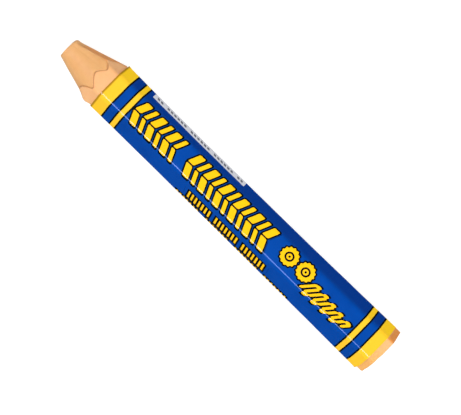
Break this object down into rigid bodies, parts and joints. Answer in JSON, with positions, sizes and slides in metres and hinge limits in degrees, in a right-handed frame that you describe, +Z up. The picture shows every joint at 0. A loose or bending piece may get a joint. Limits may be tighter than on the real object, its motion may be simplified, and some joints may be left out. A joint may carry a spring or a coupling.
{
  "type": "marking crayon",
  "caption": "Hexagonal wax marking crayon with a blunt sharpened cone at one end and a glued, printed paper wrapper that leaves the cone and the butt bare.",
  "frame": {"origin": "on the surface that the crayon lies on, under the middle of its length", "axes": "+X along the stick towards the sharpened end, +Z up out of the surface"},
  "size_m": [0.1174, 0.0154, 0.0138],
  "materials": {
    "wax": "satin, slightly waxy, yellow-orange pigment",
    "printed_paper": "semi-gloss coated paper printed blue with yellow bands",
    "dried_glue": "clear to cream, dried"
  },
  "bodies": {
    "root": {"marking_stick": "wax", "paper_wrapper": "printed_paper", "first_edge_glue": "dried_glue", "lap_glue": "dried_glue"}
  },
  "joints": []
}
